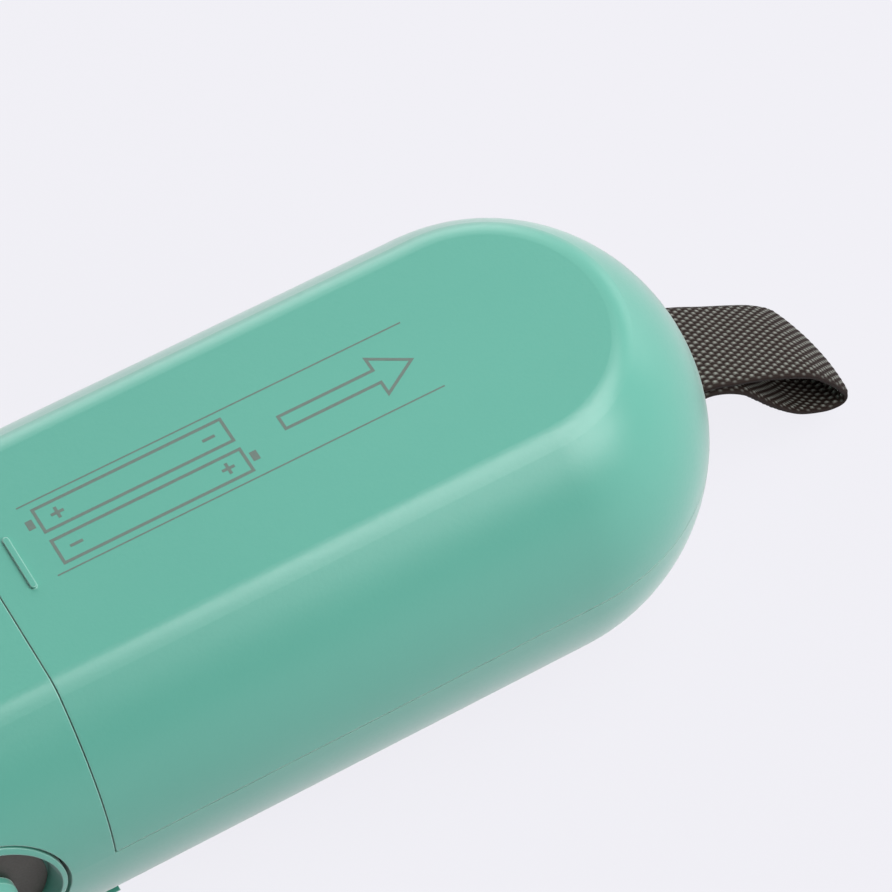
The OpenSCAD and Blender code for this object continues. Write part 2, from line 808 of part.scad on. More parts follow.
module heater_base() {
    color(ceramic) placed() {
        block([heater_x - base_w / 2, -base_l / 2, -base_proud],
            [heater_x + base_w / 2, base_l / 2, jaw_t + base_flange]);
        block([heater_x - base_w / 2 - base_flange, -base_l / 2 + base_flange, jaw_t],
            [heater_x + base_w / 2 + base_flange, base_l / 2 - base_flange, jaw_t + base_flange]);
    }
}

module heater_ribbon() {
    leg_y = base_l / 2 + leg_gap;
    color(nichrome) placed() {
        block([heater_x - ribbon_w / 2, -leg_y - ribbon_t, -base_proud - ribbon_t],
            [heater_x + ribbon_w / 2, leg_y + ribbon_t, -base_proud]);
        both_sides()
            block([heater_x - ribbon_w / 2, leg_y, -base_proud - ribbon_t],
                [heater_x + ribbon_w / 2, leg_y + ribbon_t, jaw_t + leg_rise]);
    }
}

module heater_terminals() {
    leg_y = base_l / 2 + leg_gap + ribbon_t;
    color(brass) placed() both_sides()
        block([heater_x - terminal_l / 2, leg_y, jaw_t],
            [heater_x + terminal_l / 2, leg_y + terminal_w, jaw_t + terminal_h]);
}

module heater_cover_strip() {
    color(woven_brown) placed()
        block([heater_x - strip_w / 2, -strip_l / 2, -ridge_h - strip_t],
            [heater_x + strip_w / 2, strip_l / 2, -ridge_h]);
}

module switch_body() {
    color(dark_plastic) placed() difference() {
        block([switch_x - switch_l / 2, -switch_w / 2, jaw_t],
            [switch_x + switch_l / 2, switch_w / 2, jaw_t + switch_h]);
        translate([switch_x, 0, jaw_t - bury])
            cylinder(r = collar_r + chamber_room, h = bury + collar_h + plunger_stroke + 2 * chamber_room);
    }
}

module switch_terminals() {
    color(brass) placed() both_sides()
        translate([switch_x, switch_tab_y, jaw_t + switch_h])
            block([-terminal_tab_w / 2, -terminal_tab_t / 2, 0],
                [terminal_tab_w / 2, terminal_tab_t / 2, terminal_tab_h]);
}

module switch_plunger() {
    color(red_lead) placed() translate([switch_x, 0, 0]) {
        translate([0, 0, -plunger_out]) cylinder(r = plunger_r, h = plunger_out + jaw_t + collar_h);
        translate([0, 0, jaw_t + fit / 2]) cylinder(r = collar_r, h = collar_h);
    }
}

module return_springs() {
    seat = 0.05;
    color(steel) placed() both_sides() translate([switch_x, spring_y, lever_floor_z + seat])
        coil(spring_r, spring_r, -lever_floor_z - 2 * seat, spring_turns, spring_wire_r);
}

// A flat-headed pin from the hub's seat into the lug
module hinge_pins() {
    color(dark_steel) placed() both_sides() {
        along_y(hinge_x, lug_y - lug_t, 0, pin_r, pin_head_y - lug_y + lug_t + bury);
        along_y(hinge_x, pin_head_y, 0, pin_head_r, pin_head_h);
    }
}

// Bevelled caps on the pins' heads
module hinge_caps() {
    color(mint) placed() both_sides() {
        along_y(hinge_x, cap_y, 0, cap_r, cap_h - cap_bevel_h);
        translate([hinge_x, cap_y + cap_h - cap_bevel_h, 0]) rotate([-90, 0, 0])
            cylinder(r1 = cap_r, r2 = cap_r - cap_bevel_w, h = cap_bevel_h);
    }
}

// The lever's shell with its jaw plane, floor, ears and posts
module press_lever() {
    deck_z = -cheek_d - lever_gap;
    outline = [[lever_rear_x, -far], [lever_rear_x, deck_z], [lever_step_x, deck_z], [lever_step_x, far],
        [-far, far], [-far, -far]];
    color(mint) placed() difference() {
        union() {
            difference() {
                intersection() {
                    lever_pod(0);
                    across(outline);
                }
                lever_hollow();
                opened() block([-far, -far / 2, -lever_rim_sink], [hinge_x, far / 2, far]);
            }
            both_sides() lever_ear();
            // Post under the switch plunger
            translate([switch_x, 0, lever_floor_z - bury])
                cylinder(r = push_r, h = -plunger_out - push_gap - lever_floor_z + bury);
            // Posts under the pad carrier
            intersection() {
                lever_pod(lever_wall / 2);
                opened() both_sides()
                    translate([carrier_screw_at[0], carrier_screw_at[1], -far])
                        cylinder(r = carrier_post_r, h = far + carrier_top_z - carrier_t);
            }
        }
        both_sides() {
            along_y(hinge_x, ear_in_y - fit, 0, pin_r + pin_clear, far / 2);
            translate([hinge_x, dish_y, 0]) rotate([-90, 0, 0])
                cylinder(r1 = dish_r, r2 = dish_r + dish_flare, h = half_w - dish_y);
        }
        opened() both_sides()
            translate([carrier_screw_at[0], carrier_screw_at[1],
                carrier_top_z - screw_head_h - screw_l - fit])
                cylinder(r = screw_r + screw_clear, h = screw_l);
    }
}

// Room inside the lever: under the carrier, and in the shallow part below the cheeks
module lever_hollow() {
    intersection() {
        lever_pod(lever_wall);
        union() {
            block([-far, -far / 2, -far], [lever_step_x - lever_wall, far / 2, far]);
            block([lever_step_x, -far / 2, -far], [lever_rear_x - lever_wall, far / 2, far]);
        }
    }
}

module lever_ear() {
    intersection() {
        along_y(hinge_x, ear_in_y, 0, hub_out, far / 2);
        pod(hub_sink);
    }
    intersection() {
        pod(wall + ear_slim);
        union() {
            block([hinge_x - ear_w / 2, ear_in_y, ear_top_z - ear_t],
                [hinge_x + ear_w / 2, ear_in_y + ear_t, 0]);
            block([hinge_x - ear_w / 2, ear_foot_y, lever_floor_z - bury],
                [hinge_x + ear_w / 2, half_w, ear_top_z]);
        }
    }
    intersection() {
        lever_pod(lever_wall / 2);
        block([hinge_x - ear_w / 2, ear_foot_y, -lever_h],
            [hinge_x + ear_w / 2, ear_foot_y + ear_t, -cheek_d]);
    }
}

module pad_carrier() {
    groove_d = pad_t - pad_top_z + carrier_top_z;
    color(dark_plastic) placed() intersection() {
        lever_pod(lever_wall + carrier_room);
        block([-far, -far / 2, -far], [carrier_rear_x, far / 2, far]);
        opened() difference() {
            block([-far, -far / 2, carrier_top_z - carrier_t], [hinge_x, far / 2, carrier_top_z]);
            block([heater_x - pad_w / 2, -strip_l / 2, carrier_top_z - groove_d],
                [heater_x + pad_w / 2, strip_l / 2, far]);
            both_sides() translate([carrier_screw_at[0], carrier_screw_at[1], -far]) {
                cylinder(r = screw_r + screw_clear, h = 2 * far);
                translate([0, 0, far + carrier_top_z - screw_head_h])
                    cylinder(r = screw_head_r + fit, h = far);
            }
        }
    }
}

module silicone_pad() {
    color(silicone) placed() opened()
        block([heater_x - pad_w / 2, -strip_l / 2, pad_top_z - pad_t],
            [heater_x + pad_w / 2, strip_l / 2, pad_top_z]);
}

module carrier_screws() {
    color(steel) placed() opened() both_sides()
        translate([carrier_screw_at[0], carrier_screw_at[1], carrier_top_z - screw_head_h]) screw();
}

module lead_battery() {
    color(red_lead) placed() tube(eased([
        [lead_start_x, cell_y, lead_start_z],
        [lead_start_x - lead_bend, cell_y, lead_z],
        [hinge_x - lead_bend, cell_y - lead_bend, lead_z],
        [switch_x + lead_bend, switch_tab_y + lead_bend, switch_top + lead_bend],
        [switch_x, switch_tab_y + terminal_tab_t / 2 + lead_r, switch_top + lead_r]], lead_steps),
        lead_r, lead_sides, [0, 0, 1]);
}

module lead_switch() {
    leg_y = base_l / 2 + leg_gap + ribbon_t;
    color(white_lead) placed() tube(eased([
        [switch_x, -switch_tab_y - terminal_tab_t / 2 - lead_r, switch_top + lead_r],
        [switch_x - 2 * lead_bend, -switch_tab_y - lead_bend, switch_top + lead_bend],
        [switch_x - 6 * lead_bend, -switch_tab_y - lead_bend, lead_z - lead_bend],
        [heater_x + 3 * lead_bend, -leg_y, jaw_t + 3 * lead_bend],
        [heater_x + terminal_l / 2 + lead_r, -leg_y - terminal_w / 2, jaw_t + terminal_h / 2]], lead_steps),
        lead_r, lead_sides, [0, 1, 0.2]);
}

module lead_return() {
    leg_y = base_l / 2 + leg_gap + ribbon_t;
    color(black_lead) placed() tube(eased([
        [lead_start_x, -cell_y, lead_start_z],
        [lead_start_x - 2 * lead_bend, 2 * lead_bend - cell_y, lead_z + lead_bend / 2],
        [switch_x - lead_bend, 0, lead_z + lead_bend],
        [switch_x - 6 * lead_bend, switch_tab_y + lead_bend, lead_z],
        [heater_x + 3 * lead_bend, leg_y, jaw_t + 3 * lead_bend],
        [heater_x + terminal_l / 2 + lead_r, leg_y + terminal_w / 2, jaw_t + terminal_h / 2]], lead_steps),
        lead_r, lead_sides, [0, 0.3, 1]);
}

main_housing();
battery_cover();
battery_tray();
tray_screws();
aa_cell_left();
aa_cell_right();
contact_positive();
contact_negative();
contact_bridge();
contact_springs();
jaw_frame();
jaw_screws();
heater_base();
heater_ribbon();
heater_terminals();
heater_cover_strip();
switch_body();
switch_terminals();
switch_plunger();
return_springs();
hinge_pins();
hinge_caps();
press_lever();
pad_carrier();
silicone_pad();
carrier_screws();
lead_battery();
lead_switch();
lead_return();
strap_pin();
strap_loop();
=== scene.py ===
import bpy
import math
from mathutils import Matrix, Quaternion, Vector


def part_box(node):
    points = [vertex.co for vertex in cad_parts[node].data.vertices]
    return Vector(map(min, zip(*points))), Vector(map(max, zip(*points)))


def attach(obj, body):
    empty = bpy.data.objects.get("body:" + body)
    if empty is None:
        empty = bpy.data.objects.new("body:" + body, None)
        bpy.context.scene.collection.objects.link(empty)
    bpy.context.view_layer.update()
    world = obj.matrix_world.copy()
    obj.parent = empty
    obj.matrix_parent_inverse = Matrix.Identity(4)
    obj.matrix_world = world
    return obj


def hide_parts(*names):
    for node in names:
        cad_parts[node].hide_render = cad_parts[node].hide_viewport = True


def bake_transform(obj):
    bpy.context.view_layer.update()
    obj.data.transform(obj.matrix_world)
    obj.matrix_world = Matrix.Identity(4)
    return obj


# Hand-held bag sealer, dressed over its CAD model. Sizes in the dictionaries are millimetres.
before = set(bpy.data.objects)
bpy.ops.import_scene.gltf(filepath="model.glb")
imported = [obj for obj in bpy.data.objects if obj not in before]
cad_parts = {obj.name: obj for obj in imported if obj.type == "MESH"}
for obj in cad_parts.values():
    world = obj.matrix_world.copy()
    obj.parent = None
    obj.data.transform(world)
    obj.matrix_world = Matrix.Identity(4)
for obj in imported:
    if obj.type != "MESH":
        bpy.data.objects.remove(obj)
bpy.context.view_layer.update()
mm = 0.001
rearEnd = Vector((29.8, 0.0, 15.4))  # centre of the round rear end, on the parting line
scene = bpy.context.scene
scene.view_settings.view_transform = "Standard"
print("frame loaded:", len(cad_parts), "nodes")


def place(x, y, z):
    return (Vector((x, y, z)) + rearEnd) * mm


def linear(code):
    values = [int(code[i:i + 2], 16) / 255 for i in (1, 3, 5)]
    return [v / 12.92 if v <= 0.04045 else ((v + 0.055) / 1.055) ** 2.4 for v in values] + [1.0]


def clamp(value):
    return max(0.0, min(1.0, value))


def addNode(tree, kind, settings=None, links=None):
    made = tree.nodes.new(kind)
    for name, value in (settings or {}).items():
        if isinstance(name, int) or name in made.inputs:
            made.inputs[name].default_value = value
        else:
            setattr(made, name, value)
    for name, source in (links or {}).items():
        tree.links.new(source, made.inputs[name])
    return made


def startMaterial(name, settings):
    material = bpy.data.materials.new(name)
    material.use_nodes = True
    tree = material.node_tree
    tree.nodes.clear()
    shader = addNode(tree, "ShaderNodeBsdfPrincipled", settings)
    addNode(tree, "ShaderNodeOutputMaterial", links={"Surface": shader.outputs[0]})
    where = addNode(tree, "ShaderNodeTexCoord").outputs["Object"]
    return material, tree, shader, where


def addObject(name, points, faces, material):
    mesh = bpy.data.meshes.new(name)
    mesh.from_pydata(points, [], faces)
    mesh.materials.append(material)
    made = bpy.data.objects.new(name, mesh)
    scene.collection.objects.link(made)
    return made


# Camera, fitted to the photograph
camera = {
    "turn": -27.478, "rise": 56.162, "roll": -3.003,  # degrees
    "across": 3.448, "up": 0.273, "distance": 358.454,
    "focus": 4400, "width": 892,  # focal length and frame in pixels
}


def makeCamera(c):
    turn, rise, roll = (math.radians(c[k]) for k in ("turn", "rise", "roll"))
    back = Vector((math.sin(turn) * math.cos(rise), -math.cos(turn) * math.cos(rise), math.sin(rise)))
    side = Vector((math.cos(turn), math.sin(turn), 0))
    top = back.cross(side)
    right = math.cos(roll) * side + math.sin(roll) * top
    above = math.cos(roll) * top - math.sin(roll) * side
    data = bpy.data.cameras.new("photoCamera")
    data.sensor_width = 36
    data.lens = data.sensor_width * c["focus"] / c["width"]
    data.clip_start = 0.01
    made = bpy.data.objects.new("photoCamera", data)
    spot = place(*(back * c["distance"] - right * c["across"] - above * c["up"]))
    made.matrix_world = Matrix.Translation(spot) @ Matrix((right, above, back)).transposed().to_4x4()
    scene.collection.objects.link(made)
    scene.camera = made


makeCamera(camera)
print("camera set")

# Moulded plastics; the edge colour in each look below is a painted highlight on rounded edges
mintAbs = {  # soft satin green, as it comes from a spark-eroded mould
    "deep": "#5db4a0", "pale": "#64bba6", "edge": "#b4e6d8", "mottle": 22, "grain": 0.32,
    "rough": (0.3, 0.38), "relief": 0.006, "round": 0.16, "sheen": 0.9, "gloss": 0.9,
}
blackAbs = {  # charcoal, with a painted highlight on its edges
    "deep": "#1d1f20", "pale": "#26292a", "edge": "#3a3d3e", "mottle": 9, "grain": 0.4,
    "rough": (0.42, 0.55), "relief": 0.008, "round": 0.15, "sheen": 0.0, "gloss": 0.5,
}
paleNylon = {  # glass-filled, so its skin is a little cloudy
    "deep": "#bfc3bd", "pale": "#cfd2cb", "edge": "#dfe1dc", "mottle": 5, "grain": 0.5,
    "rough": (0.4, 0.55), "relief": 0.01, "round": 0.15, "sheen": 0.0, "gloss": 0.5,
}
redNylon = {  # bright red, small and smooth
    "deep": "#a81f1b", "pale": "#b92a24", "edge": "#cf5a52", "mottle": 3, "grain": 0.3,
    "rough": (0.35, 0.45), "relief": 0.005, "round": 0.1, "sheen": 0.0, "gloss": 0.5,
}


mouldSkin = {"ior": 1.53, "sheenRough": 0.35, "edgeTurn": (0.995, 0.9), "edgeHighlightShare": 0.7,
             "contrast": (0.3, 0.7)}


# Fine even grain, faint clouding, and a painted highlight: edges are tinted paler than the faces
def mouldedPlastic(name, look):
    material, tree, shader, where = startMaterial(
        name, {"IOR": mouldSkin["ior"], "Specular IOR Level": look["gloss"], "Sheen Weight": look["sheen"],
               "Sheen Roughness": mouldSkin["sheenRough"]})
    cloud = addNode(tree, "ShaderNodeTexNoise", {"Scale": 1 / (look["mottle"] * mm), "Detail": 3.0},
                    {"Vector": where})
    body = addNode(tree, "ShaderNodeMix", {"data_type": "RGBA", 6: linear(look["deep"]),
                                           7: linear(look["pale"])}, {0: cloud.outputs[0]})
    rounded = addNode(tree, "ShaderNodeBevel", {"samples": 4, "Radius": look["round"] * mm})
    faced = addNode(tree, "ShaderNodeNewGeometry")
    kept = addNode(tree, "ShaderNodeVectorMath", {"operation": "DOT_PRODUCT"},
                   {0: rounded.outputs[0], 1: faced.outputs["Normal"]})
    faceOn, turned = mouldSkin["edgeTurn"]
    # painted highlight: the edge colour is mixed in where the rounded normal turns away from the face
    paintedEdgeHighlight = addNode(tree, "ShaderNodeMapRange", {"From Min": faceOn, "From Max": turned,
                                               "To Max": mouldSkin["edgeHighlightShare"]},
                  {"Value": kept.outputs["Value"]})
    colour = addNode(tree, "ShaderNodeMix", {"data_type": "RGBA", 7: linear(look["edge"])},
                     {0: paintedEdgeHighlight.outputs[0], 6: body.outputs[2]})
    grain = addNode(tree, "ShaderNodeTexNoise", {"Scale": 1 / (look["grain"] * mm), "Detail": 2.0},
                    {"Vector": where})
    low, high = look["rough"]
    dark, light = mouldSkin["contrast"]
    rough = addNode(tree, "ShaderNodeMapRange", {"From Min": dark, "From Max": light, "To Min": low,
                                                 "To Max": high}, {"Value": grain.outputs[0]})
    relief = addNode(tree, "ShaderNodeBump", {"Strength": 1.0, "Distance": look["relief"] * mm},
                     {"Height": grain.outputs[0], "Normal": rounded.outputs[0]})
    tree.links.new(colour.outputs[2], shader.inputs["Base Color"])
    tree.links.new(rough.outputs[0], shader.inputs["Roughness"])
    tree.links.new(relief.outputs[0], shader.inputs["Normal"])
    return material


# Metals: zinc plate is bright and cool, nickel plate warmer and smoother, blackened steel a dull brown,
# rolled nichrome a dark grey, and stamped brass yellow
zincSteel = {"deep": "#a9abad", "pale": "#c4c6c8", "patch": 1.5, "line": 0.12, "rough": (0.25, 0.4)}
nickelSteel = {"deep": "#b9b4aa", "pale": "#d3cfc6", "patch": 2, "line": 0.15, "rough": (0.15, 0.28)}
blackSteel = {"deep": "#4d4a46", "pale": "#5f5b56", "patch": 2.5, "line": 0.2, "rough": (0.35, 0.48)}
nichromeRibbon = {"deep": "#77736c", "pale": "#938e86", "patch": 2, "line": 0.1, "rough": (0.3, 0.45)}
terminalBrass = {"deep": "#b08a45", "pale": "#cda860", "patch": 1.2, "line": 0.1, "rough": (0.22, 0.38)}


metalSkin = {"stretch": (1.0, 0.12, 1.0), "contrast": (0.3, 0.7), "round": 0.08, "relief": 0.003}


# Patchy tone, and fine lines left by drawing and tumbling
def workedMetal(name, look):
    material, tree, shader, where = startMaterial(name, {"Metallic": 1.0})
    patch = addNode(tree, "ShaderNodeTexNoise", {"Scale": 1 / (look["patch"] * mm), "Detail": 4.0},
                    {"Vector": where})
    tone = addNode(tree, "ShaderNodeMix", {"data_type": "RGBA", 6: linear(look["deep"]),
                                           7: linear(look["pale"])}, {0: patch.outputs[0]})
    drawn = addNode(tree, "ShaderNodeMapping", {"Scale": metalSkin["stretch"]}, {"Vector": where})
    line = addNode(tree, "ShaderNodeTexNoise", {"Scale": 1 / (look["line"] * mm), "Detail": 2.0},
                   {"Vector": drawn.outputs[0]})
    low, high = look["rough"]
    dark, light = metalSkin["contrast"]
    rough = addNode(tree, "ShaderNodeMapRange", {"From Min": dark, "From Max": light, "To Min": low,
                                                 "To Max": high}, {"Value": line.outputs[0]})
    rounded = addNode(tree, "ShaderNodeBevel", {"samples": 4, "Radius": metalSkin["round"] * mm})
    relief = addNode(tree, "ShaderNodeBump", {"Strength": 1.0, "Distance": metalSkin["relief"] * mm},
                     {"Height": line.outputs[0], "Normal": rounded.outputs[0]})
    tree.links.new(tone.outputs[2], shader.inputs["Base Color"])
    tree.links.new(rough.outputs[0], shader.inputs["Roughness"])
    tree.links.new(relief.outputs[0], shader.inputs["Normal"])
    return material


# Extruded sleeves with a soft even shine, cast silicone that is matt and brick red, chalky fired ceramic
redSleeve = {"deep": "#98201c", "pale": "#b12c26", "speck": 0.5, "rough": 0.45, "relief": 0.008}
whiteSleeve = {"deep": "#cfcfca", "pale": "#dededa", "speck": 0.5, "rough": 0.45, "relief": 0.008}
blackSleeve = {"deep": "#141414", "pale": "#202020", "speck": 0.5, "rough": 0.45, "relief": 0.008}
siliconePad = {"deep": "#a8452f", "pale": "#bb5840", "speck": 0.7, "rough": 0.6, "relief": 0.008}
firedCeramic = {"deep": "#d8d2c2", "pale": "#e8e4d8", "speck": 0.25, "rough": 0.55, "relief": 0.008}


# One tone with a fine speck and a low relief
def dullSkin(name, look):
    material, tree, shader, where = startMaterial(name, {"Roughness": look["rough"], "IOR": 1.45})
    speck = addNode(tree, "ShaderNodeTexNoise", {"Scale": 1 / (look["speck"] * mm), "Detail": 4.0},
                    {"Vector": where})
    tone = addNode(tree, "ShaderNodeMix", {"data_type": "RGBA", 6: linear(look["deep"]),
                                           7: linear(look["pale"])}, {0: speck.outputs[0]})
    relief = addNode(tree, "ShaderNodeBump", {"Strength": 1.0, "Distance": look["relief"] * mm},
                     {"Height": speck.outputs[0]})
    tree.links.new(tone.outputs[2], shader.inputs["Base Color"])
    tree.links.new(relief.outputs[0], shader.inputs["Normal"])
    return material


glassCloth = {"warp": "#6d4f2c", "weft": "#93703f", "thread": 0.45, "rough": 0.38, "film": 0.4,
              "filmRough": 0.2, "relief": 0.03}


# Coated glass cloth: amber, a plain weave under a slick film
def coatedCloth(name, look):
    material, tree, shader, where = startMaterial(
        name, {"Roughness": look["rough"], "Coat Weight": look["film"], "Coat Roughness": look["filmRough"]})
    parts = addNode(tree, "ShaderNodeSeparateXYZ", links={0: where})
    waves = []
    for axis in ("X", "Y"):
        turns = addNode(tree, "ShaderNodeMath", {"operation": "MULTIPLY",
                                                 1: math.pi / (look["thread"] * mm)},
                        {0: parts.outputs[axis]})
        waves.append(addNode(tree, "ShaderNodeMath", {"operation": "SINE"}, {0: turns.outputs[0]}))
    over = addNode(tree, "ShaderNodeMath", {"operation": "MULTIPLY"},
                   {0: waves[0].outputs[0], 1: waves[1].outputs[0]})
    share = addNode(tree, "ShaderNodeMapRange", {"From Min": -0.5, "From Max": 0.5},
                    {"Value": over.outputs[0]})
    tone = addNode(tree, "ShaderNodeMix", {"data_type": "RGBA", 6: linear(look["warp"]),
                                           7: linear(look["weft"])}, {0: share.outputs[0]})
    relief = addNode(tree, "ShaderNodeBump", {"Strength": 1.0, "Distance": look["relief"] * mm},
                     {"Height": over.outputs[0]})
    tree.links.new(tone.outputs[2], shader.inputs["Base Color"])
    tree.links.new(relief.outputs[0], shader.inputs["Normal"])
    return material


cellWrap = {"sleeve": "#2c3138", "band": "#9a6a3c", "can": "#b8b6b0", "bandLength": 11, "capLength": 1.4,
            "rough": 0.3, "film": 0.5, "scuff": 0.8, "relief": 0.006}


# Printed sleeve on a cell: dark, with a copper-toned band and a bare steel cap at the positive end
def printedSleeve(name, node, nubSide, look):
    material, tree, shader, where = startMaterial(
        name, {"Roughness": look["rough"], "Coat Weight": look["film"]})
    low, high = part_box(node)
    nubEnd = high.x if nubSide > 0 else -low.x
    parts = addNode(tree, "ShaderNodeSeparateXYZ", links={0: where})
    fromNub = addNode(tree, "ShaderNodeMath", {"operation": "MULTIPLY_ADD", 1: -float(nubSide), 2: nubEnd},
                      {0: parts.outputs["X"]})
    band, cap = (addNode(tree, "ShaderNodeMath", {"operation": "LESS_THAN", 1: look[k] * mm},
                         {0: fromNub.outputs[0]}) for k in ("bandLength", "capLength"))
    printed = addNode(tree, "ShaderNodeMix", {"data_type": "RGBA", 6: linear(look["sleeve"]),
                                              7: linear(look["band"])}, {0: band.outputs[0]})
    tone = addNode(tree, "ShaderNodeMix", {"data_type": "RGBA", 7: linear(look["can"])},
                   {0: cap.outputs[0], 6: printed.outputs[2]})
    scuff = addNode(tree, "ShaderNodeTexNoise", {"Scale": 1 / (look["scuff"] * mm), "Detail": 3.0},
                    {"Vector": where})
    relief = addNode(tree, "ShaderNodeBump", {"Strength": 1.0, "Distance": look["relief"] * mm},
                     {"Height": scuff.outputs[0]})
    tree.links.new(tone.outputs[2], shader.inputs["Base Color"])
    tree.links.new(band.outputs[0], shader.inputs["Metallic"])
    tree.links.new(relief.outputs[0], shader.inputs["Normal"])
    return material


finishes = [
    (mouldedPlastic("mouldedMintAbs", mintAbs),
     ["main_housing", "battery_cover", "press_lever", "hinge_caps"]),
    (mouldedPlastic("mouldedBlackAbs", blackAbs), ["battery_tray", "pad_carrier", "switch_body"]),
    (mouldedPlastic("glassFilledNylon", paleNylon), ["jaw_frame"]),
    (mouldedPlastic("mouldedRedNylon", redNylon), ["switch_plunger"]),
    (workedMetal("zincPlatedSteel", zincSteel),
     ["tray_screws", "jaw_screws", "carrier_screws", "strap_pin", "return_springs"]),
    (workedMetal("nickelPlatedSteel", nickelSteel),
     ["contact_positive", "contact_negative", "contact_bridge", "contact_springs"]),
    (workedMetal("blackenedSteel", blackSteel), ["hinge_pins"]),
    (workedMetal("rolledNichrome", nichromeRibbon), ["heater_ribbon"]),
    (workedMetal("stampedBrass", terminalBrass), ["heater_terminals", "switch_terminals"]),
    (dullSkin("firedCeramic", firedCeramic), ["heater_base"]),
    (dullSkin("castSilicone", siliconePad), ["silicone_pad"]),
    (dullSkin("extrudedRedSleeve", redSleeve), ["lead_battery"]),
    (dullSkin("extrudedWhiteSleeve", whiteSleeve), ["lead_switch"]),
    (dullSkin("extrudedBlackSleeve", blackSleeve), ["lead_return"]),
    (coatedCloth("coatedGlassCloth", glassCloth), ["heater_cover_strip"]),
    (printedSleeve("printedSleeveLeft", "aa_cell_left", -1, cellWrap), ["aa_cell_left"]),
    (printedSleeve("printedSleeveRight", "aa_cell_right", 1, cellWrap), ["aa_cell_right"]),
]
for material, nodes in finishes:
    for node in nodes:
        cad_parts[node].data.materials.clear()
        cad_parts[node].data.materials.append(material)
print("finishes given:", sum(len(nodes) for _, nodes in finishes), "nodes")

# Pad print on the label face: two rules, the two cells with their poles, and the way the cover slides
labelPrint = {
    "face": 15.0, "height": 0.012, "sunk": 0.01, "ink": "#697872", "worn": "#75897f", "patch": 0.35,
    "rough": 0.5,
    "ruleFrom": -39, "ruleTo": -5, "ruleAt": (4.6, -2.45), "ruleWidth": 0.13,
    "cellFrom": -38, "cellTo": -21.6, "cellAt": (2.7, -0.55), "cellHalf": 1.15,
    "nubOut": 0.6, "nubHalf": 0.45, "line": 0.26, "sign": 0.55, "signInset": 1.6,
    "arrowFrom": -17.6, "arrowTo": -6, "arrowAt": 1.05, "shaftHalf": 0.65, "headHalf": 1.9, "headLength": 3.1,
}


def strokeSides(line, width, closed):
    count = len(line)
    sides = []
    for i in range(count):
        before = line[i] - line[i - 1] if closed or i else line[1] - line[0]
        after = line[(i + 1) % count] - line[i] if closed or i < count - 1 else before
        before, after = before.normalized(), after.normalized()
        across = (Vector((-before.y, before.x)) + Vector((-after.y, after.x))).normalized()
        reach = across * (width / 2 / across.dot(Vector((-before.y, before.x))))
        sides.append((line[i] + reach, line[i] - reach))
    return sides


# Grey-green ink, thin and a little uneven, as a soft pad leaves it
def padInk(name, look):
    material, tree, shader, where = startMaterial(name, {"Roughness": look["rough"]})
    patch = addNode(tree, "ShaderNodeTexNoise", {"Scale": 1 / (look["patch"] * mm), "Detail": 3.0},
                    {"Vector": where})
    tone = addNode(tree, "ShaderNodeMix", {"data_type": "RGBA", 6: linear(look["ink"]),
                                           7: linear(look["worn"])}, {0: patch.outputs[0]})
    tree.links.new(tone.outputs[2], shader.inputs["Base Color"])
    return material


def makeLabelPrint(p):
    strokes = [([(p["ruleFrom"], y), (p["ruleTo"], y)], p["ruleWidth"], False) for y in p["ruleAt"]]
    for y, nubSide in zip(p["cellAt"], (-1, 1)):
        left, right, half = p["cellFrom"], p["cellTo"], p["cellHalf"]
        outline = [(left, y - half), (right, y - half), (right, y + half), (left, y + half)]
        strokes.append((outline, p["line"], True))
        end = right if nubSide > 0 else left
        out = end + nubSide * (p["nubOut"] + p["line"] / 2)
        strokes.append(([(out, y - p["nubHalf"]), (out, y + p["nubHalf"])], p["nubOut"], False))
        plus = end - nubSide * p["signInset"]
        minus = left + right - plus
        strokes.append(([(plus - p["sign"], y), (plus + p["sign"], y)], p["line"], False))
        for way in (-1, 1):
            strokes.append(([(plus, y + way * p["line"] / 2), (plus, y + way * p["sign"])], p["line"], False))
        strokes.append(([(minus - p["sign"], y), (minus + p["sign"], y)], p["line"], False))
    neck, y = p["arrowTo"] - p["headLength"], p["arrowAt"]
    upper = [(p["arrowFrom"], p["shaftHalf"]), (neck, p["shaftHalf"]), (neck, p["headHalf"]),
             (p["arrowTo"], 0)]
    arrow = [(x, y + h) for x, h in upper] + [(x, y - h) for x, h in reversed(upper[:-1])]
    strokes.append((arrow, p["line"], True))
    points, faces = [], []
    for line, width, closed in strokes:
        sides = strokeSides([Vector(q) for q in line], width, closed)
        first, count = len(points), len(sides)
        for level in (p["face"] + p["height"], p["face"] - p["sunk"]):
            for one, other in sides:
                points += [place(one.x, one.y, level), place(other.x, other.y, level)]
        low = 2 * count
        for i in range(count if closed else count - 1):
            a, b = first + 2 * i, first + 2 * ((i + 1) % count)
            faces += [(a + 1, b + 1, b, a), (a, b, low + b, low + a),
                      (b + 1, a + 1, low + a + 1, low + b + 1), (low + a, low + b, low + b + 1, low + a + 1)]
        if not closed:
            a, b = first, first + 2 * (count - 1)
            faces += [(a, low + a, low + a + 1, a + 1), (b + 1, low + b + 1, low + b, b)]
    piece = addObject("label_print", points, faces, padInk("padPrintInk", p))
    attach(piece, "cover")
    print("label printed:", len(strokes), "strokes")


makeLabelPrint(labelPrint)

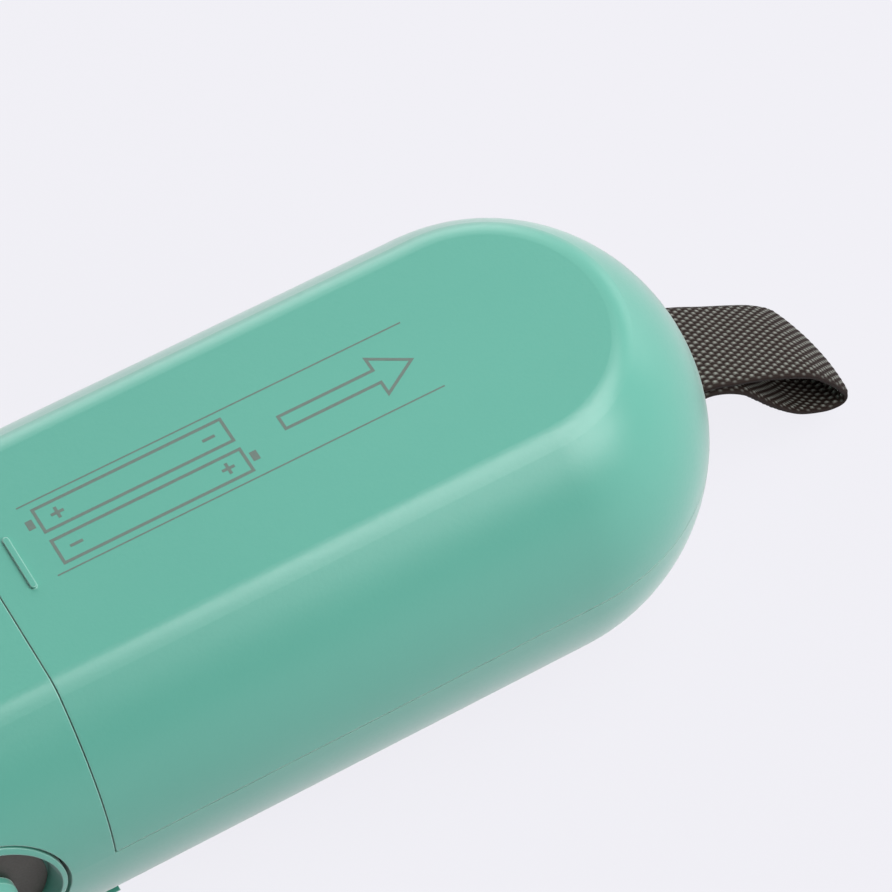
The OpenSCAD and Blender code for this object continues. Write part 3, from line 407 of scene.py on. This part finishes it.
# Webbing loop: the middle lines of its near and far edges, from the pin out along the top and back below
webbing = {
    "nearY": -4.45, "farY": 4.75, "thick": 0.66, "warpPitch": 0.276, "weftPitch": 0.66,
    "warpSteps": 4, "weftSteps": 8, "wave": 0.09, "pinX": 13.4, "pinZ": -2.3, "pinTurn": 1.5,
    "bulge": 0.55, "bulgeFrom": 23, "bulgeTo": 28,
    "near": [(16.2, -0.75), (17.8, -0.6), (19.3, -1.0), (20.9, -1.85), (23.0, -2.85), (25.9, -4.6),
             (28.8, -6.75), (30.6, -9.0), (31.75, -10.75), (32.4, -12.1), (32.2, -12.95), (31.3, -13.05),
             (30.0, -12.6), (27.7, -11.15), (25.5, -8.75), (23.5, -6.05), (22.0, -4.05), (20.1, -2.45),
             (18.2, -1.65), (16.2, -2.0)],
    "far": [(16.2, -0.75), (17.8, -0.7), (19.2, -1.05), (20.8, -1.95), (23.2, -3.6), (25.8, -5.3),
            (28.0, -6.85), (29.6, -8.4), (30.6, -10.0), (31.0, -11.3), (30.7, -12.1), (29.8, -12.2),
            (28.7, -11.8), (26.9, -10.6), (25.0, -8.6), (23.2, -6.2), (21.8, -4.3), (20.0, -2.55),
            (18.2, -1.75), (16.2, -2.0)],
    # share of a yarn's height that is its rise and its roundness, and how narrow the weft is in its pitch
    "warpRise": 0.55, "warpRound": 0.45, "weftRise": 0.42, "weftRound": 0.42, "weftNarrow": 3.4,
    "selvedge": 6, "selvedgeThick": 0.45, "crownGain": 3, "highlightFrom": 0.55, "highlightGain": 3,
    # the glint colour is a painted highlight on the highest weft crowns
    "warp": "#271d19", "weft": "#615e58", "paintedHighlight": "#9ca29b", "rough": 0.6, "gloss": 0.12,
    "fibre": 0.1, "fibreRelief": 0.01,
}


def smoothLoop(points, steps):
    count = len(points)
    line = []
    for i in range(count):
        a, b, c, d = (Vector(points[(i + k) % count]) for k in (-1, 0, 1, 2))
        for k in range(steps):
            t = k / steps
            line.append(b + (c - a) * (t / 2) + (2 * a - 5 * b + 4 * c - d) * (t * t / 2)
                        + (3 * b - a - 3 * c + d) * (t ** 3 / 2))
    return line


def evenLoop(line, count):
    lengths = [(line[(i + 1) % len(line)] - line[i]).length for i in range(len(line))]
    total = sum(lengths)
    spaced, passed, i = [], 0.0, 0
    for k in range(count):
        want = total * k / count
        while passed + lengths[i] < want:
            passed += lengths[i]
            i += 1
        spaced.append(line[i].lerp(line[(i + 1) % len(line)], (want - passed) / lengths[i]))
    return spaced, total


# Warp-faced plain weave: height of the upper yarn, and how far the weft lies above the warp
def weaveHeight(w, u, v, side):
    column, row = math.floor(v), math.floor(u)
    acrossWarp, acrossWeft = v - column - 0.5, u - row - 0.5
    warpUp = side * math.sin(math.pi * u) * (1 if column % 2 else -1)
    weftUp = -side * math.sin(math.pi * v) * (1 if row % 2 else -1)
    warpArch = math.sqrt(max(0.0, 1 - (2 * acrossWarp) ** 2))
    weftArch = math.sqrt(max(0.0, 1 - (w["weftNarrow"] * acrossWeft) ** 2))
    warpTop = w["warpRise"] * warpUp + w["warpRound"] * warpArch
    weftTop = w["weftRise"] * weftUp + w["weftRound"] * weftArch
    return max(warpTop, weftTop), weftTop - warpTop


# Woven polyester: near-black warp with small paler weft crowns, and a painted highlight on the highest crowns
def wovenPolyester(name, look):
    material, tree, shader, where = startMaterial(
        name, {"Roughness": look["rough"], "Specular IOR Level": look["gloss"]})
    crown = addNode(tree, "ShaderNodeAttribute", {"attribute_name": "crown"})
    highlightMask = addNode(tree, "ShaderNodeAttribute", {"attribute_name": "highlightMask"})
    yarn = addNode(tree, "ShaderNodeMix", {"data_type": "RGBA", 6: linear(look["warp"]),
                                           7: linear(look["weft"])}, {0: crown.outputs["Fac"]})
    highlighted = addNode(tree, "ShaderNodeMix", {"data_type": "RGBA", 7: linear(look["paintedHighlight"])},
                     {0: highlightMask.outputs["Fac"], 6: yarn.outputs[2]})
    fibre = addNode(tree, "ShaderNodeTexNoise", {"Scale": 1 / (look["fibre"] * mm), "Detail": 2.0},
                    {"Vector": where})
    relief = addNode(tree, "ShaderNodeBump", {"Strength": 1.0, "Distance": look["fibreRelief"] * mm},
                     {"Height": fibre.outputs[0]})
    tree.links.new(highlighted.outputs[2], shader.inputs["Base Color"])
    tree.links.new(relief.outputs[0], shader.inputs["Normal"])
    return material


def makeWebbing(w):
    pin = [(w["pinX"] + w["pinTurn"] * math.cos(a), w["pinZ"] + w["pinTurn"] * math.sin(a))
           for a in (math.radians(315 - 45 * k) for k in range(6))]
    nearLine, farLine = (smoothLoop(pin + w[k], 24) for k in ("near", "far"))
    length = evenLoop(nearLine, 4)[1]
    wefts = 2 * round(length / w["weftPitch"] / 2)
    along = wefts * w["weftSteps"]
    near, far = (evenLoop(line, along)[0] for line in (nearLine, farLine))
    warps = round((w["farY"] - w["nearY"]) / w["warpPitch"])
    across = warps * w["warpSteps"]
    points, crowns, highlightMasks = [], [], []
    for side in (1, -1):
        for i in range(along):
            nearRun, farRun = (line[(i + 1) % along] - line[i - 1] for line in (near, far))
            for j in range(across + 1):
                t = j / across
                run = nearRun.lerp(farRun, t).normalized()
                middle = near[i].lerp(far[i], t)
                outward = Vector((-run.y, run.x))
                swell = clamp((middle.x - w["bulgeFrom"]) / (w["bulgeTo"] - w["bulgeFrom"]))
                middle += outward * (w["bulge"] * swell * 4 * t * (1 - t))
                height, over = weaveHeight(w, i / w["weftSteps"], j / w["warpSteps"], side)
                edge = clamp(min(t, 1 - t) * across / w["selvedge"])  # the selvedge is thinner
                full = w["selvedgeThick"] + (1 - w["selvedgeThick"]) * edge
                rise = w["thick"] / 2 * full + w["wave"] * (height - 0.5) * edge
                spot = middle + outward * (side * rise)
                points.append(place(spot.x, w["nearY"] + t * (w["farY"] - w["nearY"]), spot.y))
                # painted shade: towards both selvedges the crown and highlight colours fade out, leaving the
                # dark warp colour
                crowns.append(clamp(w["crownGain"] * over) * edge)
                # painted highlight: the highest weft crowns are marked for the paler glint colour
                highlightMasks.append(clamp((height - w["highlightFrom"]) * w["highlightGain"]) * crowns[-1])
    row, sheet = across + 1, along * (across + 1)
    faces = []
    for i in range(along):
        a, b = i * row, (i + 1) % along * row
        for j in range(across):
            faces.append((a + j, a + j + 1, b + j + 1, b + j))
            faces.append((sheet + a + j, sheet + b + j, sheet + b + j + 1, sheet + a + j + 1))
        faces.append((a, b, sheet + b, sheet + a))
        faces.append((a + across, sheet + a + across, sheet + b + across, b + across))
    strap = addObject("webbing_loop", points, faces, wovenPolyester("wovenPolyester", w))
    strap.data.polygons.foreach_set("use_smooth", [True] * len(faces))
    for name, values in (("crown", crowns), ("highlightMask", highlightMasks)):
        strap.data.attributes.new(name, "FLOAT", "POINT").data.foreach_set("value", values)
    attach(strap, "housing")
    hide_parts("strap_loop")
    print("webbing made:", round(length, 1), "mm,", wefts, "wefts,", warps, "warps")


makeWebbing(webbing)

# Return springs, wound to the CAD coils' places
returnSpring = {"wire": 0.6, "turns": 7, "turnSteps": 40, "wireSides": 14}


def makeReturnSprings(r):
    low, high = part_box("return_springs")
    wire = r["wire"] / 2 * mm
    coil = (high.x - low.x) / 2 - wire
    middle = Vector(((low.x + high.x) / 2, high.y - coil - wire, low.z + wire))
    climb = high.z - low.z - 2 * wire
    count, sides = r["turns"] * r["turnSteps"], r["wireSides"]
    slope = climb / (r["turns"] * 2 * math.pi * coil)
    points, faces = [], []
    for hand in (1, -1):
        first = len(points)
        for i in range(count + 1):
            turned = 2 * math.pi * i / r["turnSteps"]
            out = Vector((math.cos(turned), hand * math.sin(turned), 0))
            run = Vector((-math.sin(turned), hand * math.cos(turned), slope)).normalized()
            spot = Vector((middle.x, hand * middle.y, middle.z + climb * i / count)) + out * coil
            over = out.cross(run)
            for k in range(sides):
                angle = 2 * math.pi * k / sides
                points.append(spot + (out * math.cos(angle) + over * math.sin(angle)) * wire)
        for i in range(count):
            a, b = first + i * sides, first + (i + 1) * sides
            faces += [(a + k, b + k, b + (k + 1) % sides, a + (k + 1) % sides) for k in range(sides)]
        faces.append(tuple(range(first, first + sides)))
        faces.append(tuple(reversed(range(len(points) - sides, len(points)))))
    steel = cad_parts["return_springs"].data.materials[0]
    springs = addObject("return_coils", points, faces, steel)
    springs.data.polygons.foreach_set("use_smooth", [len(face) == 4 for face in faces])
    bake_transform(springs)
    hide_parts("return_springs")
    print("springs wound:", len(faces), "faces")


makeReturnSprings(returnSpring)

# Light, floor and backdrop
studio = {
    "backdrop": "#f3f2f8", "shade": "#85868a", "shadeFrom": (-0.3, -0.6, 0.75), "shadeRange": (-0.3, 0.5),
    "floor": "#d4d3d9", "glow": 0.93, "mirrored": 0.4, "sky": 0.08, "extent": 3, "floorDrop": 0.2,
    "lampDistance": 0.6, "lampAim": (-15, 0, 0),
    # turn from the strap end, rise and roll in degrees, then size in metres and watts
    "lamps": {
        "keySoftbox": (-37.5, 51.5, 57, (0.92, 0.43), 4.6),
        "backSoftbox": (90, 12.5, 0, (0.9, 0.7), 3.1),
        "rearSoftbox": (14, 8, 0, (0.45, 0.4), 0.5),
    },
}


def makeLamp(name, s, turn, rise, roll, size, power):
    data = bpy.data.lights.new(name, "AREA")
    data.shape = "RECTANGLE"
    data.size, data.size_y = size
    data.energy = power
    lamp = bpy.data.objects.new(name, data)
    turn, rise, roll = (math.radians(angle) for angle in (turn, rise, roll))
    away = Vector((math.cos(rise) * math.cos(turn), math.cos(rise) * math.sin(turn), math.sin(rise)))
    facing = away.to_track_quat("Z", "Y") @ Quaternion((0, 0, 1), roll)
    spot = place(*s["lampAim"]) + away * s["lampDistance"]
    lamp.matrix_world = Matrix.Translation(spot) @ facing.to_matrix().to_4x4()
    scene.collection.objects.link(lamp)


# One where the eye or a clear body looks, a share in a reflection, none where only light gathers
def seenDirectly(tree, mirrored):
    path = addNode(tree, "ShaderNodeLightPath")
    glossy = addNode(tree, "ShaderNodeMath", {"operation": "MULTIPLY", 1: mirrored},
                     {0: path.outputs["Is Glossy Ray"]})
    looked = addNode(tree, "ShaderNodeMath", {"operation": "MAXIMUM"},
                     {0: path.outputs["Is Camera Ray"], 1: glossy.outputs[0]})
    return addNode(tree, "ShaderNodeMath", {"operation": "MAXIMUM"},
                   {0: looked.outputs[0], 1: path.outputs["Is Transmission Ray"]}).outputs[0]


# Pale behind and beside the part, greyer in front and overhead
def makeWorld(s):
    scene.world = bpy.data.worlds.new("studio")
    scene.world.use_nodes = True
    tree = scene.world.node_tree
    tree.nodes.clear()
    sky = addNode(tree, "ShaderNodeBackground", {"Color": (1, 1, 1, 1), "Strength": s["sky"]})
    where = addNode(tree, "ShaderNodeTexCoord").outputs["Generated"]
    toShade = addNode(tree, "ShaderNodeVectorMath", {"operation": "DOT_PRODUCT", 1: s["shadeFrom"]},
                      {0: where})
    pale, dark = s["shadeRange"]
    share = addNode(tree, "ShaderNodeMapRange", {"From Min": pale, "From Max": dark},
                    {"Value": toShade.outputs["Value"]})
    tone = addNode(tree, "ShaderNodeMix", {"data_type": "RGBA", 6: linear(s["backdrop"]),
                                           7: linear(s["shade"])}, {0: share.outputs[0]})
    paper = addNode(tree, "ShaderNodeBackground", links={"Color": tone.outputs[2]})
    both = addNode(tree, "ShaderNodeMixShader",
                   links={0: seenDirectly(tree, 1.0), 1: sky.outputs[0], 2: paper.outputs[0]})
    addNode(tree, "ShaderNodeOutputWorld", links={"Surface": both.outputs[0]})


# Matte paper that mostly glows to the eye, and still takes the part's shadow
def makeFloor(s):
    material = bpy.data.materials.new("mattePaper")
    material.use_nodes = True
    tree = material.node_tree
    tree.nodes.clear()
    glow = addNode(tree, "ShaderNodeMath", {"operation": "MULTIPLY", 1: s["glow"]},
                   {0: seenDirectly(tree, s["mirrored"])})
    paper = addNode(tree, "ShaderNodeBsdfDiffuse", {"Color": linear(s["floor"])})
    light = addNode(tree, "ShaderNodeEmission", {"Color": linear(s["backdrop"]), "Strength": 1.0})
    both = addNode(tree, "ShaderNodeMixShader",
                   links={0: glow.outputs[0], 1: paper.outputs[0], 2: light.outputs[0]})
    addNode(tree, "ShaderNodeOutputMaterial", links={"Surface": both.outputs[0]})
    e, z = s["extent"], -s["floorDrop"] * mm
    corners = [(-e, -e, z), (e, -e, z), (e, e, z), (-e, e, z)]
    addObject("paper_floor", corners, [(0, 1, 2, 3)], material)


makeWorld(studio)
makeFloor(studio)
for name, lamp in studio["lamps"].items():
    makeLamp(name, studio, *lamp)
print("studio lit:", len(studio["lamps"]), "lamps")
